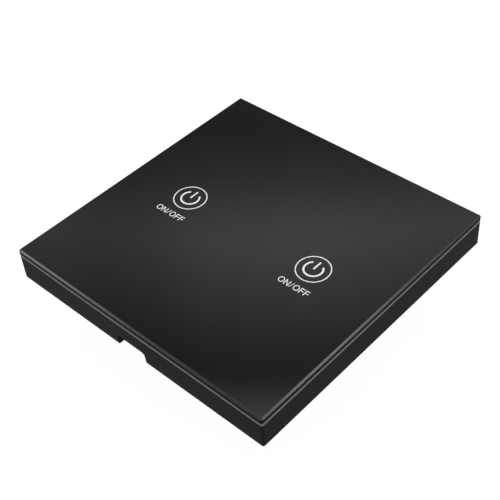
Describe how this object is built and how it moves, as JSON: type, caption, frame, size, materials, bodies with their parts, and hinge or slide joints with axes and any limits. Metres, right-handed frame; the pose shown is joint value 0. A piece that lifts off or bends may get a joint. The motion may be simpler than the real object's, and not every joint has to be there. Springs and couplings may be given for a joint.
{
  "type": "touch light switch",
  "caption": "Square wall touch switch: a black glass face with printed power symbols on a black frame, clipped over an in-wall relay module.",
  "frame": {"origin": "midway between the two fixing slots, on the rear face of the mounting plate, which is the wall's surface", "axes": "+Z out of the wall through the glass, +X to the right and +Y up as the printed text reads"},
  "size_m": [0.086, 0.086, 0.034],
  "materials": {
    "glass": "clear polished glass with a ground bevel",
    "black_print": "black ink baked on the back of the glass",
    "white_print": "white ink printed on the glass",
    "tape": "black double-sided foam tape",
    "black_plastic": "black moulded ABS, fine satin texture",
    "plate_steel": "zinc-plated sheet steel",
    "spring_steel": "plated spring steel",
    "housing_plastic": "off-white flame-retardant plastic",
    "fibre_sheet": "dark grey vulcanised fibre sheet",
    "tray_plastic": "pale grey moulded ABS",
    "screw_steel": "zinc-plated steel screw",
    "board": "glass-fibre circuit board, green solder mask",
    "led": "clear epoxy over a light chip",
    "guide": "clear moulded plastic light guide",
    "chip": "black epoxy package",
    "small_parts": "ceramic chip parts",
    "header_plastic": "black nylon",
    "brass": "plain brass",
    "ferrite": "sintered ferrite",
    "bobbin_plastic": "black glass-filled plastic reel",
    "tape_yellow": "yellow polyester tape over copper wire",
    "film_yellow": "yellow resin-filled box",
    "can_sleeve": "dark shrink sleeve on an aluminium can",
    "fuse_plastic": "dark red moulded fuse body",
    "varistor_blue": "blue epoxy-coated disc",
    "block_plastic": "green polyamide terminal block",
    "copper": "bare copper strip",
    "relay_plastic": "blue polyester relay cover",
    "magnet_iron": "nickel-plated soft iron",
    "copper_wire": "enamelled copper winding",
    "contact_alloy": "copper alloy with silver contacts"
  },
  "bodies": {
    "base": {"board_screws": "screw_steel", "board_tray": "tray_plastic", "film_capacitor": "film_yellow", "fuse": "fuse_plastic", "header_base": "header_plastic", "header_pins": "brass", "header_socket": "header_plastic", "housing_screws": "screw_steel", "indicator_leds": "led", "insulating_sheet": "fibre_sheet", "left_relay_base": "header_plastic", "left_relay_bobbin": "bobbin_plastic", "left_relay_case": "relay_plastic", "left_relay_coil": "copper_wire", "left_relay_fixed_contact": "contact_alloy", "left_relay_yoke": "magnet_iron", "left_touch_spring": "spring_steel", "light_guides": "guide", "mounting_plate": "plate_steel", "panel_clips": "spring_steel", "power_board": "board", "rear_housing": "housing_plastic", "rectifier_bridge": "chip", "right_relay_base": "header_plastic", "right_relay_bobbin": "bobbin_plastic", "right_relay_case": "relay_plastic", "right_relay_coil": "copper_wire", "right_relay_fixed_contact": "contact_alloy", "right_relay_yoke": "magnet_iron", "right_touch_spring": "spring_steel", "supply_capacitor": "can_sleeve", "terminal_bars": "copper", "terminal_block": "block_plastic", "touch_board": "board", "touch_board_parts": "small_parts", "touch_chip": "chip", "transformer_bobbin": "bobbin_plastic", "transformer_core": "ferrite", "transformer_winding": "tape_yellow", "varistor": "varistor_blue", "voltage_regulator": "chip"},
    "panel": {"glass_panel": "glass", "glass_back_print": "black_print", "left_touch_symbol": "white_print", "right_touch_symbol": "white_print", "panel_tape": "tape", "panel_frame": "black_plastic"},
    "left_armature": {"left_relay_armature": "magnet_iron", "left_relay_contact_leaf": "contact_alloy"},
    "right_armature": {"right_relay_armature": "magnet_iron", "right_relay_contact_leaf": "contact_alloy"},
    "screw_1": {"terminal_screw_1": "screw_steel"},
    "cage_1": {"terminal_cage_1": "brass"},
    "screw_2": {"terminal_screw_2": "screw_steel"},
    "cage_2": {"terminal_cage_2": "brass"},
    "screw_3": {"terminal_screw_3": "screw_steel"},
    "cage_3": {"terminal_cage_3": "brass"}
  },
  "joints": [
    {"name": "panel_pull_off", "type": "slide", "parent": "base", "child": "panel", "axis": [0, 0, 1], "range_m": [0, 0.012]},
    {"name": "terminal_screw_1_turn", "type": "hinge", "parent": "base", "child": "screw_1", "pos_m": [-0.0095, -0.0196, -0.02353], "axis": [0, 0, 1], "range_deg": [0, 1800]},
    {"name": "terminal_cage_1_rise", "type": "slide", "parent": "base", "child": "cage_1", "axis": [0, 0, -1], "range_m": [0, 0.0025]},
    {"name": "terminal_screw_2_turn", "type": "hinge", "parent": "base", "child": "screw_2", "pos_m": [0, -0.0196, -0.02353], "axis": [0, 0, 1], "range_deg": [0, 1800]},
    {"name": "terminal_cage_2_rise", "type": "slide", "parent": "base", "child": "cage_2", "axis": [0, 0, -1], "range_m": [0, 0.0025]},
    {"name": "terminal_screw_3_turn", "type": "hinge", "parent": "base", "child": "screw_3", "pos_m": [0.0095, -0.0196, -0.02353], "axis": [0, 0, 1], "range_deg": [0, 1800]},
    {"name": "terminal_cage_3_rise", "type": "slide", "parent": "base", "child": "cage_3", "axis": [0, 0, -1], "range_m": [0, 0.0025]},
    {"name": "left_armature_tip", "type": "hinge", "parent": "base", "child": "left_armature", "pos_m": [-0.0143, -0.0111, -0.0168], "axis": [1, 0, 0], "range_deg": [0, 4], "stiffness_Nm_per_rad": 0.02, "springref_deg": -2.86},
    {"name": "right_armature_tip", "type": "hinge", "parent": "base", "child": "right_armature", "pos_m": [0.0143, -0.0111, -0.0168], "axis": [1, 0, 0], "range_deg": [0, 4], "stiffness_Nm_per_rad": 0.02, "springref_deg": -2.86}
  ],
  "couplings": [
    {"joint": "terminal_screw_1_turn", "follows": "terminal_cage_1_rise", "rad_per_m": 12566},
    {"joint": "terminal_screw_2_turn", "follows": "terminal_cage_2_rise", "rad_per_m": 12566},
    {"joint": "terminal_screw_3_turn", "follows": "terminal_cage_3_rise", "rad_per_m": 12566}
  ]
}
